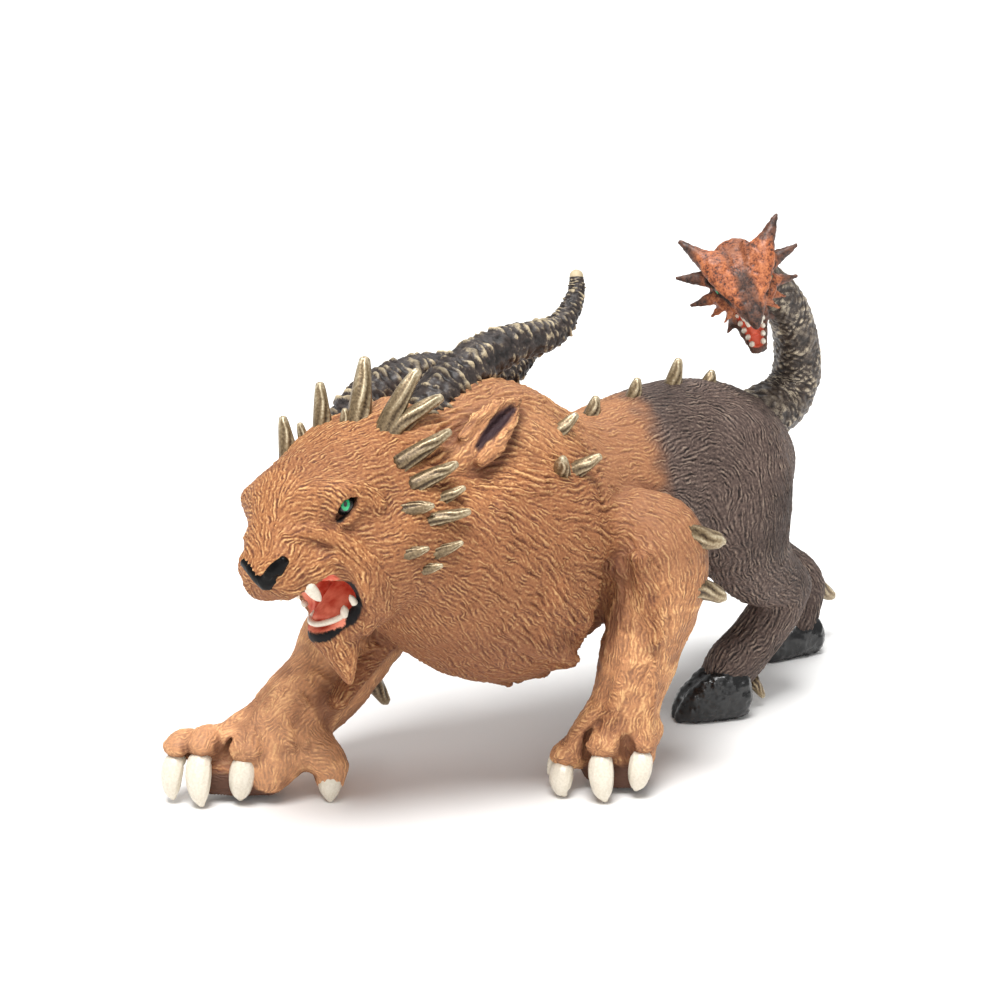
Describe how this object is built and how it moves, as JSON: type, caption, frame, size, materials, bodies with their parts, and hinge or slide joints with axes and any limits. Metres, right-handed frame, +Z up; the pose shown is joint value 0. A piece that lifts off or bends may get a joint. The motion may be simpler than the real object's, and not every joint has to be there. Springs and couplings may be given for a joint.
{
  "type": "chimera figurine",
  "caption": "Crouching chimera figurine: roaring maned lion head and clawed forepaws, goat horns, hindquarters and hooves, horned serpent head on a raised tail.",
  "frame": {"origin": "middle of the bounding box's footprint, on the ground that the claws and hooves stand on", "axes": "+Z up; the beast faces -Y, and its left side is +X"},
  "size_m": [0.0734, 0.1828, 0.1128],
  "materials": {
    "body": "hand-painted vinyl, carved fur: light tan ridges over a brown wash, dark grey-brown goat quarters",
    "horn": "painted dark grey vinyl with pale dry-brushed ridges, satin",
    "serpent": "painted dark vinyl scales with gold dry-brush, terracotta face, satin",
    "claw": "ivory paint, satin gloss, on claws and teeth",
    "hoof": "gloss black paint on rough vinyl, on hooves and nose",
    "spike": "antique gold metallic paint with fine grooves",
    "eye": "gloss green paint with a black pupil",
    "mouth": "orange-red paint, satin"
  },
  "bodies": {
    "root": {"body": "body", "horn_left": "horn", "horn_right": "horn", "serpent_tail": "serpent"}
  },
  "joints": []
}
